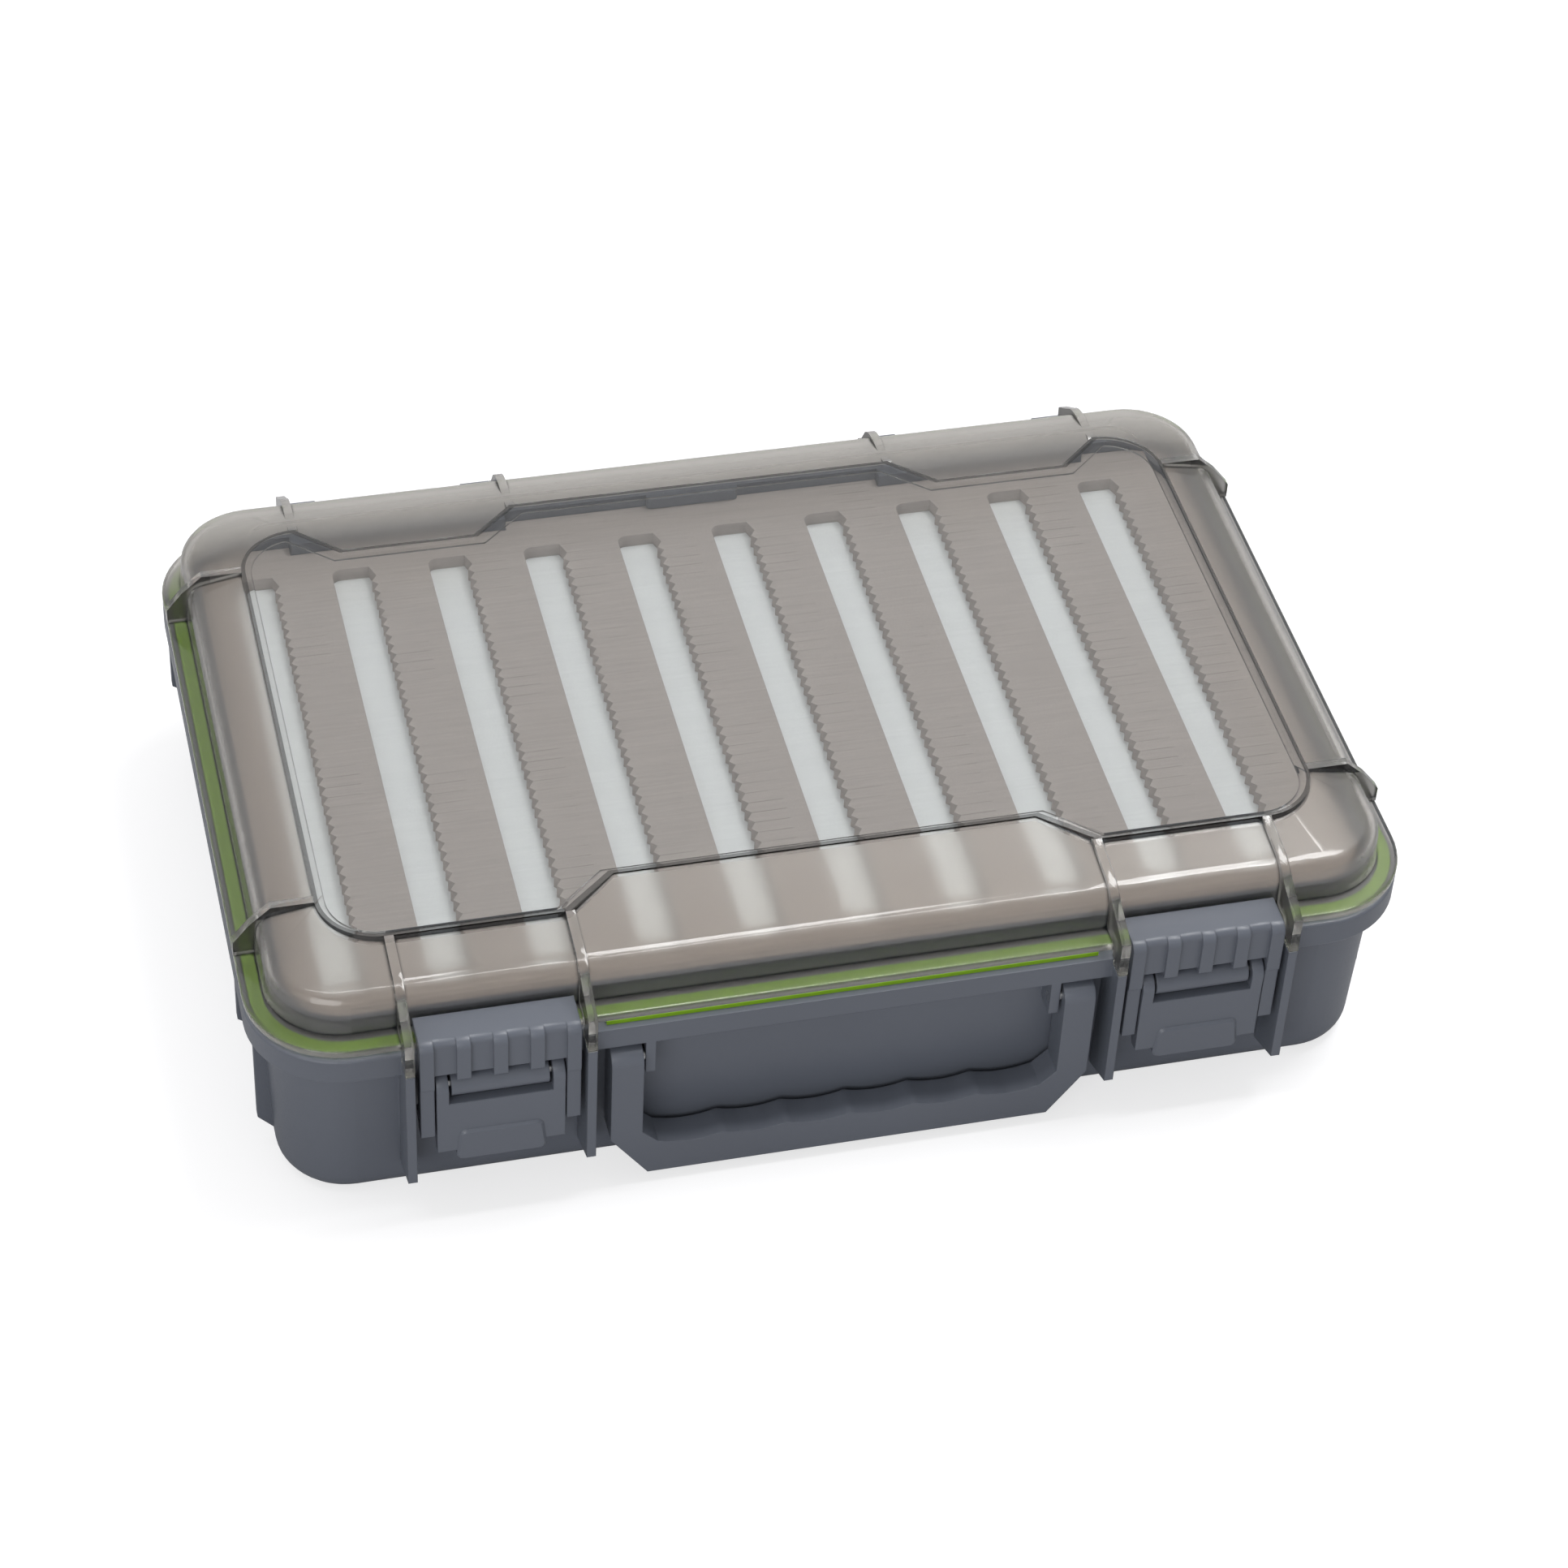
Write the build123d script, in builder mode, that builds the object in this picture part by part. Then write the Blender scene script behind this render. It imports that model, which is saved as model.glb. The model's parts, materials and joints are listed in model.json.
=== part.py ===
from build123d import *

import os
from math import cos, radians, sin, tan

# Waterproof fly box: a deep tub, a clear lid on two rear hinges, two over-centre
# latches, a swinging carrying handle, and a foam tray that holds the flies.
# Millimetres. X runs along the box, -Y is the latch side, Z is up.
# The origin is the middle of the box on the surface it stands on.

os.makedirs("parts", exist_ok=True)

# ---------------------------------------------------------------- driving sizes
# Case
case_length = 304.6  # over the rim, left to right
case_depth = 204.6  # over the rim, front to back
case_corner = 25.0  # rim corner radius in plan
base_height = 56.4  # floor to the top of the tub rim
rim_gap = 1.2  # gap that the gasket keeps between rim and lid flange
lid_height = 17.4  # lid flange underside to the window
wall = 2.2  # tub wall
floor_thickness = 2.4
draft = 2.0  # degrees of mould draft on the tub walls
rim_overhang = 4.7  # rim beyond the tub wall
rim_height = 7.9  # depth of the rim band
floor_radius = 6.5  # outside edge round the tub floor

# Ribs shared by the lid and the tub
rib_thickness = 2.4
rib_reach = 6.3  # front and rear ribs beyond the rim
rib_split = 0.4  # gap between a lid rib and the tub rib below it
rib_split_drop = 1.9  # lower end of a front lid rib, below the tub rim
rib_rim_gap = 0.3  # front lid rib to the rim behind it
side_rib_shift = 2.4  # side ribs and fins sit this far towards the hinges
bite = 1.0  # how far an added piece runs into the one it joins
overcut = 1.0  # how far a cut runs past the face it opens
corner_rib_inset = 37.3  # outermost ribs inside the ends of the rim, on all four sides
latch_bay = 46.0  # rib to rib
hinge_bay = 60.7
short_fin_foot = 37.0  # fins on the short walls, below the lid's side ribs
long_fin_foot = 11.8
long_fin_inset = 28.3  # long fins inside the front of the rim
long_fin_step = 2.4  # long fins short of the rim
rib_floor_gap = 15.5  # rib foot above the floor
rib_foot_rise = 5.1  # how far the rib foot slopes down to the wall
rear_rib_drop = 2.0  # rear rib tops below the rim, clear of the lid's swing
edge_round = 0.8  # edges of the rim band and the lid flange

# Lid
flange_thickness = 2.4
lid_wall = 2.0
lid_front_inset = 6.0  # foot of the lid wall inside the rim
lid_rear_inset = 2.4
lid_side_inset = 5.2
lid_draft = 4.0  # degrees
lid_shoulder = 5.0
border_drop = 0.5  # highest part of the border below the window
border_fall = 3.2  # from there down to the shoulder
crown_front_inset = 34.7  # where the border starts to fall, inside the rim
crown_rear_inset = 16.0
crown_side_inset = 24.0
crown_corner = 8.0
window_side_inset = 20.9  # window inside the rim
window_front_inset = 23.5
window_rear_inset = 20.7
window_corner = 16.0
window_band = 2.8  # thick edge all round the window
handle_bay_slope = 13.3  # notches narrow by this much on each side
handle_bay_depth = 11.2
hinge_bay_slope = 12.2
hinge_bay_depth = 10.8
crest_inner = 9.3  # bend of a front or rear rib's crest inside the foot of the lid wall
crest_inner_drop = 1.0  # below the window
crest_middle = 3.3
crest_middle_drop = 2.0
crest_outer = 1.5  # beyond the foot of the lid wall
crest_outer_drop = 4.8
rib_nose_height = 7.7  # height of a lid rib's end face
side_crest_run = 11.0
side_bend_inset = 4.4  # bend of a side rib inside the rim
side_bend_drop = 5.0  # bend below the window
side_foot_drop = 10.6

# Gasket
gasket_width = 3.2
gasket_inset = 1.9  # outer edge of the gasket inside the rim
gasket_side_gap = 0.3  # groove wall to gasket
gasket_groove = 2.2
gasket_free = 0.05  # gasket crown below the closed flange
lip_inset = 0.3  # lip along the handle bay, inside the rim

# Hinges
hinge_knuckle_radius = 3.0
hinge_pin_diameter = 2.5
hinge_axis_rise = 3.3  # axis above the lid flange underside
hinge_knuckle_width = 8.0
hinge_side_gap = 0.3
running_gap = 0.05  # radial clearance of a pin that turns

# Latches
clamp_side_gap = 1.4  # clamp to the ribs beside it
clamp_leg = 3.6
clamp_front = 5.2  # front face beyond the rim
clamp_skin = 2.6
hook_thickness = 2.8
hook_gap = 0.15  # hook above the lid flange
hook_lid_gap = 0.2  # hook short of the foot of the lid wall
clamp_skirt = 12.0  # hook top down to the lower edge of the front
clamp_leg_drop = 33.0  # hook top down to the leg ends
clamp_rim_gap = 0.6
clamp_shoulder = 2.6
panel_shoulder = 1.8
nub_round = 0.7  # lower ends of the grip ribs
leg_step_drop = 15.5  # hook top down to the step on the legs
groove_depth = 1.1
grip_rib_width = 3.6
grip_rib_drop = 1.2
barrel_radius = 3.5
barrel_side_gap = 0.8  # barrel to the lever's cheeks
barrel_reach = 1.2  # barrel axis beyond the rim
barrel_drop = 10.8  # barrel axis below the tub rim
ear_radius = 4.2
ear_gap = 0.4  # pocket in the rim round each lever ear
lever_side_gap = 0.45  # lever to the clamp's legs
lever_cheek = 3.1
lever_skin = 3.0
lever_top = 4.1  # body edge below the barrel axis
lever_length = 21.3  # barrel axis down to the lever's lower edge
tab_height = 10.5
tab_drop = 3.3  # thumb tab below the lever's edge
tab_inset = 4.55  # thumb tab inside the ends of the lever
tab_bevel = 1.2
tab_corner = 2.0
tab_proud = 0.8
tab_chamfer = 0.7
link_radius = 11.0  # barrel axis to clamp pivot
link_lead = 3.0  # degrees that the pivot lies past centre
link_boss = 2.6
latch_pin_diameter = 2.4

# Handle
handle_side_gap = 4.3  # handle to the ribs beside it
handle_arm = 8.3
handle_thickness = 8.4
handle_wall_gap = 0.2  # handle to the tub wall at the rim's level
handle_pivot_drop = 12.4  # pivot below the tub rim
handle_grip_drop = 40.2  # pivot to the underside of the grip
handle_grip_height = 11.2
handle_outer_chamfer_x = 9.9
handle_outer_chamfer_z = 14.0
handle_inner_chamfer = 4.2
finger_count = 6
finger_depth = 1.4
shelf_reach = 1.7  # rim band stands out this much behind the handle
shelf_height = 6.4
lug_thickness = 2.6
lug_handle_gap = 0.8
lug_below_pivot = 4.7
handle_pin_diameter = 3.0
handle_pin_bite = 6.5

# Foam tray
tray_gap = 2.0
tray_corner = 16.1
tray_rim = 1.7
tray_rim_rise = 6.6  # tray rim above the tub rim
tray_floor = 1.6
foam_thickness = 4.0
backing_thickness = 3.0
foam_recess = 3.5  # foam face below the tray rim
foam_gap = 0.2
hinge_block_reach = 3.4  # tray thickens inward at each hinge
slot_count = 10
slot_width = 10.5
slot_side_margin = 13.0  # foam left over beyond a whole number of pitches
slot_end_margin = 12.0
slot_corner = 2.5
slot_shift = -5.45  # slot pattern off the middle of the box
stop_length = 26.4  # tab on the tray's rear rim
stop_overhang = 2.0
stop_corner = 1.2
stop_foam_gap = 0.2
floor_foam_thickness = 8.0
ledge_width = 9.0
ledge_reach = 5.0
ledge_height = 9.0

# ---------------------------------------------------------------- worked out
rim_x, rim_y = case_length / 2, case_depth / 2
tub_x, tub_y = rim_x - rim_overhang, rim_y - rim_overhang
tub_corner = case_corner - rim_overhang
rim_bottom = base_height - rim_height
flange_z = base_height + rim_gap
flange_top = flange_z + flange_thickness
window_top = flange_z + lid_height
crown_top = window_top - border_drop
lid_front = -(rim_y - lid_front_inset)
lid_rear = rim_y - lid_rear_inset
rib_y = rim_y + rib_reach
outer_rib_x = rim_x - corner_rib_inset
latch_rib_x = outer_rib_x - latch_bay
hinge_rib_x = outer_rib_x - hinge_bay
side_rib_rear = rim_y - corner_rib_inset + side_rib_shift
side_rib_front = -(rim_y - corner_rib_inset) + side_rib_shift
long_fin_y = -(rim_y - long_fin_inset)
window_x = rim_x - window_side_inset
window_front, window_rear = -(rim_y - window_front_inset), rim_y - window_rear_inset
front_rib_split = base_height - rib_split_drop
latch_x = (outer_rib_x + latch_rib_x) / 2
clamp_width = latch_bay - rib_thickness - 2 * clamp_side_gap
lever_width = clamp_width - 2 * (clamp_leg + lever_side_gap)
barrel_length = lever_width - 2 * (lever_cheek + barrel_side_gap)
tab_width = lever_width - 2 * tab_inset
hinge_y = rib_y - hinge_knuckle_radius
hinge_z = flange_z + hinge_axis_rise
hook_bottom = flange_top + hook_gap
hook_top = hook_bottom + hook_thickness
clamp_face = -(rim_y + clamp_front)
groove_width = (clamp_width - 2 * clamp_leg - 3 * grip_rib_width) / 4
clamp_back = -(rim_y + clamp_rim_gap)
barrel_y = -(rim_y + barrel_reach)
barrel_z = base_height - barrel_drop
link_y = barrel_y + link_radius * sin(radians(link_lead))
link_z = barrel_z - link_radius * cos(radians(link_lead))
handle_width = 2 * (latch_rib_x - rib_thickness / 2 - handle_side_gap)
handle_back = -(tub_y + handle_wall_gap)
handle_y = handle_back - handle_thickness / 2
handle_z = base_height - handle_pivot_drop
arm_inner = handle_width / 2 - handle_arm
inner_wall_x, inner_wall_y = tub_x - wall, tub_y - wall
tray_x, tray_y = inner_wall_x - tray_gap, inner_wall_y - tray_gap
pocket_x, pocket_y = tray_x - tray_rim, tray_y - tray_rim
pocket_corner = tray_corner - tray_rim
tray_top = base_height + tray_rim_rise
foam_top = tray_top - foam_recess
foam_bottom = foam_top - foam_thickness
backing_bottom = foam_bottom - backing_thickness
slot_pitch = (2 * (pocket_x - foam_gap) - slot_side_margin) / slot_count
slot_length = 2 * (pocket_y - foam_gap - slot_end_margin)
tray_bottom = backing_bottom - tray_floor


def finish(piece, name):
    """Label a finished piece and write its STEP file."""
    piece.part.label = name
    export_step(piece.part, f"parts/{name}.step")


def upright(plane, outline, thickness, mode=Mode.ADD):
    """A flat plate of the given outline, centred on its plane."""
    with BuildSketch(plane) as face:
        with BuildLine():
            Polyline(*outline, close=True)
        make_face()
    extrude(face.sketch, amount=thickness / 2, both=True, mode=mode)


def rounded_block(length, depth, corner, bottom, top, taper=0.0, mode=Mode.ADD):
    """A block with rounded corners in plan; taper narrows it upward, in degrees."""
    with BuildSketch(Plane.XY.offset(bottom)) as face:
        RectangleRounded(length, depth, corner)
    extrude(face.sketch, amount=top - bottom, taper=taper, mode=mode)


def rim_form(bottom, top):
    """A flat band over the whole plan of the rim, with rounded edges."""
    with BuildPart() as band:
        rounded_block(case_length, case_depth, case_corner, bottom, top)
        fillet(band.faces().filter_by(Axis.Z).edges(), radius=edge_round)
    return band.part


def cross_rod(y, z, radius, x_from, x_to, mode=Mode.ADD):
    """A round rod or bore along X."""
    with BuildSketch(Plane.YZ.offset(x_from)) as face:
        with Locations((y, z)):
            Circle(radius)
    extrude(face.sketch, amount=x_to - x_from, mode=mode)


def cross_box(y_from, y_to, z_from, z_to, x_from, x_to, mode=Mode.ADD):
    """A square-cornered block given by its faces."""
    with BuildSketch(Plane.YZ.offset(x_from)) as face:
        with Locations(((y_from + y_to) / 2, (z_from + z_to) / 2)):
            Rectangle(y_to - y_from, z_to - z_from)
    extrude(face.sketch, amount=x_to - x_from, mode=mode)


# ---------------------------------------------------------------- tub
def tub_rib(x, end, top):
    """A standing rib on the front (end = -1) or rear (end = 1) wall of the tub."""
    outline = [
        (end * (tub_y - wall / 2), top),
        (end * rib_y, top),
        (end * rib_y, rib_floor_gap),
        (end * (tub_y - wall / 2), rib_floor_gap - rib_foot_rise),
    ]
    upright(Plane.YZ.offset(x), outline, rib_thickness)


def side_fin(y, side, reach, foot):
    """A fin on a short wall of the tub, with a sloping foot."""
    root = tub_x - wall
    outline = [
        (side * root, rim_bottom + bite),
        (side * reach, rim_bottom + bite),
        (side * reach, foot),
        (side * root, foot - rib_foot_rise),
    ]
    upright(Plane.XZ.offset(-y), outline, rib_thickness)


def hinge_knuckle(x_from, x_to):
    """A tub knuckle: a round eye on a post that rises behind the rim."""
    post_front = rim_y + hinge_side_gap
    cross_box(post_front, rib_y, rim_bottom, hinge_z, x_from, x_to)
    cross_box(tub_y, rib_y, rim_bottom, base_height, x_from, x_to)
    cross_rod(hinge_y, hinge_z, hinge_knuckle_radius, x_from, x_to)


def tray_ledge(x, y, length_x, length_y):
    """A block on the inside of the wall that carries the tray."""
    with BuildSketch(Plane.XY.offset(tray_bottom - ledge_height)) as face:
        with Locations((x, y)):
            Rectangle(length_x, length_y)
    extrude(face.sketch, amount=ledge_height)


def make_base_tub():
    """The moulded tub with its rim, ribs, latch barrels, handle lugs and knuckles."""
    rim = rim_form(rim_bottom, base_height)
    with BuildPart() as base_tub:
        with BuildSketch(Plane.XY.offset(base_height)):
            RectangleRounded(2 * tub_x, 2 * tub_y, tub_corner)
        extrude(amount=-base_height, taper=draft)
        fillet(base_tub.faces().sort_by(Axis.Z)[0].edges(), radius=floor_radius)
        add(rim)
        shelf_half = latch_rib_x - rib_thickness / 2
        cross_box(-(rim_y + shelf_reach), -tub_y, base_height - shelf_height, base_height,
                  -shelf_half, shelf_half)

        for side in (-1, 1):
            for x in (outer_rib_x, latch_rib_x):
                tub_rib(side * x, -1, front_rib_split - rib_split)
            for x in (outer_rib_x, hinge_rib_x):
                tub_rib(side * x, 1, base_height - rear_rib_drop)
            for y in (side_rib_front, side_rib_rear):
                side_fin(y, side, rim_x, short_fin_foot)
            side_fin(long_fin_y, side, rim_x - long_fin_step, long_fin_foot)

            barrel_from = side * latch_x - barrel_length / 2
            barrel_to = barrel_from + barrel_length
            pocket_half = lever_width / 2 + ear_gap
            cross_box(-(rim_y + overcut), barrel_y + ear_radius + ear_gap,
                      rim_bottom - overcut,
                      barrel_z + ear_radius + ear_gap, side * latch_x - pocket_half,
                      side * latch_x + pocket_half, mode=Mode.SUBTRACT)
            cross_rod(barrel_y, barrel_z, barrel_radius, barrel_from, barrel_to)
            cross_box(barrel_y, -(tub_y - wall / 2), barrel_z,
                      barrel_z + ear_radius + 2 * ear_gap, barrel_from, barrel_to)

            lug_outer = side * (arm_inner - lug_handle_gap)
            lug_inner = lug_outer - side * lug_thickness
            cross_box(-(rim_y + shelf_reach), -(tub_y - wall), handle_z - lug_below_pivot,
                      base_height - shelf_height, min(lug_outer, lug_inner),
                      max(lug_outer, lug_inner))

            near = side * (hinge_rib_x + rib_thickness / 2 + hinge_side_gap)
            far = side * (outer_rib_x - rib_thickness / 2 - hinge_side_gap)
            width = side * hinge_knuckle_width
            hinge_knuckle(min(near, near + width), max(near, near + width))
            hinge_knuckle(min(far, far - width), max(far, far - width))

        with BuildSketch(Plane.XY.offset(base_height)):
            RectangleRounded(2 * inner_wall_x, 2 * inner_wall_y, tub_corner - wall)
        extrude(amount=-(base_height - floor_thickness), taper=draft, mode=Mode.SUBTRACT)
        inner_floor = base_tub.faces().filter_by(Plane.XY).sort_by_distance(
            (0, 0, floor_thickness))[0]
        fillet(inner_floor.edges(), radius=floor_radius - wall)

        with BuildSketch(Plane.XY.offset(base_height)):
            gasket_outline(gasket_side_gap)
        extrude(amount=-gasket_groove, mode=Mode.SUBTRACT)

        for side in (-1, 1):
            for x in (-latch_x, 0, latch_x):
                tray_ledge(x, side * (inner_wall_y - ledge_reach / 2), ledge_width, ledge_reach + wall)
            tray_ledge(side * (inner_wall_x - ledge_reach / 2), 0, ledge_reach + wall, ledge_width)
            cross_rod(barrel_y, barrel_z, latch_pin_diameter / 2 + running_gap,
                      side * latch_x - clamp_width / 2, side * latch_x + clamp_width / 2,
                      mode=Mode.SUBTRACT)
            cross_rod(handle_y, handle_z, handle_pin_diameter / 2,
                      min(side * lug_span()[0], side * lug_span()[1]),
                      max(side * lug_span()[0], side * lug_span()[1]), mode=Mode.SUBTRACT)
            cross_rod(hinge_y, hinge_z, hinge_pin_diameter / 2 + running_gap,
                      min(side * hinge_rib_x, side * outer_rib_x),
                      max(side * hinge_rib_x, side * outer_rib_x), mode=Mode.SUBTRACT)
    finish(base_tub, "base_tub")


def lug_span():
    """Inner and outer X of a handle lug."""
    outer = arm_inner - lug_handle_gap
    return outer - lug_thickness, outer


def gasket_outline(clearance):
    """Plan of the gasket ring, drawn in the sketch that is open."""
    outer = gasket_inset - clearance
    inner = gasket_inset + gasket_width + clearance
    RectangleRounded(case_length - 2 * outer, case_depth - 2 * outer, case_corner - outer)
    RectangleRounded(case_length - 2 * inner, case_depth - 2 * inner, case_corner - inner,
                     mode=Mode.SUBTRACT)


# ---------------------------------------------------------------- gasket
def make_gasket():
    """Silicone ring in the tub's groove, with a lip along the handle bay."""
    crown = flange_z - gasket_free
    with BuildPart() as gasket:
        with BuildSketch(Plane.XY.offset(base_height - gasket_groove)):
            gasket_outline(0.0)
        extrude(amount=crown - (base_height - gasket_groove))
        lip_half = latch_rib_x - 2 * rib_thickness
        cross_box(-(rim_y - lip_inset), -(rim_y - gasket_inset - gasket_width / 2), base_height,
                  crown, -lip_half, lip_half)
    finish(gasket, "gasket")


# ---------------------------------------------------------------- lid
def window_plan(inset):
    """Plan of the raised window, drawn in the sketch that is open."""
    front, rear = window_front + inset, window_rear - inset
    with Locations((0, (front + rear) / 2)):
        RectangleRounded(2 * (window_x - inset), rear - front, window_corner - inset)
    mouth = latch_rib_x + inset
    floor = mouth - handle_bay_slope
    Polygon((-mouth, front - overcut), (-mouth, front), (-floor, front + handle_bay_depth),
            (floor, front + handle_bay_depth), (mouth, front), (mouth, front - overcut),
            align=None, mode=Mode.SUBTRACT)
    near, far = hinge_rib_x - inset, outer_rib_x + inset
    for side in (-1, 1):
        Polygon((side * near, rear + overcut), (side * near, rear),
                (side * (near + hinge_bay_slope), rear - hinge_bay_depth),
                (side * (far - hinge_bay_slope), rear - hinge_bay_depth),
                (side * far, rear), (side * far, rear + overcut), align=None,
                mode=Mode.SUBTRACT)


def lid_rib(x, end, nosed):
    """A front (end = -1) or rear (end = 1) rib of the lid, from the window to its ear."""
    start = -window_front if end < 0 else window_rear
    foot = -lid_front if end < 0 else lid_rear
    ear_top = hinge_z + hinge_knuckle_radius
    crest = [
        (end * start, window_top),
        (end * (foot - crest_inner), window_top - crest_inner_drop),
        (end * (foot - crest_middle), window_top - crest_middle_drop),
        (end * (foot + crest_outer), window_top - crest_outer_drop),
    ]
    nose = [(end * hinge_y, ear_top), (end * hinge_y, flange_z)]
    if nosed:
        nose = [(end * rib_y, flange_z + rib_nose_height), (end * rib_y, hinge_z),
                (end * hinge_y, hinge_z), (end * hinge_y, flange_z)]
    if end < 0:
        rim_side = rim_y + rib_rim_gap
        nose = [(-rib_y, flange_z + rib_nose_height), (-rib_y, front_rib_split),
                (-rim_side, front_rib_split), (-rim_side, flange_z)]
    low = [(end * (start - bite), flange_z), (end * (start - bite), crown_top)]
    with BuildSketch(Plane.YZ.offset(x)) as face:
        with BuildLine():
            Spline(*crest)
            Polyline(crest[-1], *nose, *low, crest[0])
        make_face()
    extrude(face.sketch, amount=rib_thickness / 2, both=True)
    if end > 0:
        cross_rod(hinge_y, hinge_z, hinge_knuckle_radius, x - rib_thickness / 2,
                  x + rib_thickness / 2)


def lid_side_rib(y, side):
    """A rib over the short side of the lid, ending on the flange."""
    start = window_x
    crest = start + side_crest_run
    outline = [
        (side * (start - bite), crown_top),
        (side * start, window_top),
        (side * crest, window_top),
        (side * (rim_x - side_bend_inset), window_top - side_bend_drop),
        (side * rim_x, window_top - side_foot_drop),
        (side * rim_x, flange_top),
        (side * (start - bite), flange_top),
    ]
    upright(Plane.XZ.offset(-y), outline, rib_thickness)


def lid_plan(level, side_inset, front, rear, corner):
    """A rounded plan of the lid at the given level."""
    with BuildSketch(Plane.XY.offset(level)) as plan:
        with Locations((0, (front + rear) / 2)):
            RectangleRounded(2 * (rim_x - side_inset), rear - front, corner)
    return plan.sketch


def lid_form(side_inset, front, rear, crown, shoulder):
    """Outer or inner form of the lid: drafted walls, a round shoulder, a sloping border."""
    edge = crown - border_fall
    lean = (edge - flange_z) * tan(radians(lid_draft))
    corner = case_corner - side_inset
    with BuildPart() as form:
        foot_plan = lid_plan(flange_z, side_inset, front, rear, corner)
        edge_plan = lid_plan(edge, side_inset + lean, front + lean, rear - lean, corner - lean)
        crown_plan = lid_plan(crown, crown_side_inset, -(rim_y - crown_front_inset),
                              rim_y - crown_rear_inset, crown_corner)
        loft(sections=[foot_plan, edge_plan, crown_plan], ruled=True)
        bend = form.edges().filter_by_position(Axis.Z, edge - edge_round, edge + edge_round)
        fillet(bend, radius=shoulder)
    return form.part


def make_lid():
    """The clear lid: flange, drafted walls, raised window, ribs and hinge ears."""
    flange = rim_form(flange_z, flange_top)
    outside = lid_form(lid_side_inset, lid_front, lid_rear, crown_top, lid_shoulder)
    hollow_rear = rim_y - gasket_inset - gasket_width - gasket_side_gap
    hollow = lid_form(lid_side_inset + lid_wall, lid_front + lid_wall, hollow_rear,
                      crown_top - lid_wall, lid_shoulder - lid_wall)
    with BuildPart() as lid:
        add(flange)
        add(outside)
        with BuildSketch(Plane.XY.offset(crown_top - border_fall)) as window:
            window_plan(0.0)
        extrude(window.sketch, amount=border_fall + border_drop)
        for side in (-1, 1):
            for x in (outer_rib_x, latch_rib_x):
                lid_rib(side * x, -1, True)
            lid_rib(side * outer_rib_x, 1, True)
            lid_rib(side * hinge_rib_x, 1, False)
            for y in (side_rib_front, side_rib_rear):
                lid_side_rib(y, side)
        add(hollow, mode=Mode.SUBTRACT)
        with BuildSketch(Plane.XY.offset(window_top - lid_wall)) as pocket:
            window_plan(window_band)
        extrude(pocket.sketch, amount=-(border_fall + overcut), mode=Mode.SUBTRACT)
        for side in (-1, 1):
            cross_rod(hinge_y, hinge_z, hinge_pin_diameter / 2,
                      min(side * hinge_pin_span()[0], side * hinge_pin_span()[1]),
                      max(side * hinge_pin_span()[0], side * hinge_pin_span()[1]),
                      mode=Mode.SUBTRACT)
    finish(lid, "lid")


def hinge_pin_span():
    """Inner and outer X of a hinge pin, flush with the lid's ears."""
    return hinge_rib_x - rib_thickness / 2, outer_rib_x + rib_thickness / 2


def make_hinge_pin(side, name):
    """Steel pin pressed in the lid's ears."""
    ends = sorted(side * x for x in hinge_pin_span())
    with BuildPart() as hinge_pin:
        cross_rod(hinge_y, hinge_z, hinge_pin_diameter / 2, *ends)
    finish(hinge_pin, name)


# ---------------------------------------------------------------- latches
def clamp_front(face, shoulder, bottom, x_from, x_to):
    """Hook and front of the clamp over part of its width, with rounded edges."""
    with BuildPart() as front:
        cross_box(face, lid_front - hook_lid_gap, hook_bottom, hook_top, x_from, x_to)
        cross_box(face, clamp_face + clamp_skin, bottom, hook_top, x_from, x_to)
        long_edges = front.edges().filter_by(Axis.X)
        fillet(long_edges.group_by(Axis.Z)[-1].sort_by(Axis.Y)[0], radius=shoulder)
        long_edges = front.edges().filter_by(Axis.X)
        fillet(long_edges.group_by(Axis.Z)[0].sort_by(Axis.Y)[0], radius=nub_round)
    return front.part


def make_clamp(x, name):
    """The latch's upper part: a hook over the flange, a ribbed front and two legs."""
    half = clamp_width / 2
    skirt_bottom = hook_top - clamp_skirt
    leg_bottom = hook_top - clamp_leg_drop
    panel = clamp_front(clamp_face + groove_depth, panel_shoulder, skirt_bottom, x - half, x + half)
    with BuildPart() as clamp:
        add(panel)
        for n in (-1, 0, 1):
            centre = x + n * (groove_width + grip_rib_width)
            add(clamp_front(clamp_face, clamp_shoulder, skirt_bottom - grip_rib_drop,
                            centre - grip_rib_width / 2, centre + grip_rib_width / 2))
        for side in (-1, 1):
            ends = sorted((x + side * half, x + side * (half - clamp_leg)))
            add(clamp_front(clamp_face, clamp_shoulder, leg_bottom, *ends))
            cross_box(clamp_face + nub_round, clamp_back, leg_bottom, hook_bottom, *ends)
            cross_box(clamp_face + nub_round, link_y, leg_bottom, link_z + link_boss, *ends)
            cross_rod(link_y, link_z, link_boss, *ends)
            cross_box(clamp_face - overcut, clamp_face + groove_depth / 2,
                      leg_bottom - overcut, hook_top - leg_step_drop, *ends,
                      mode=Mode.SUBTRACT)
            cross_rod(link_y, link_z, latch_pin_diameter / 2, *ends, mode=Mode.SUBTRACT)
    finish(clamp, name)


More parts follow.
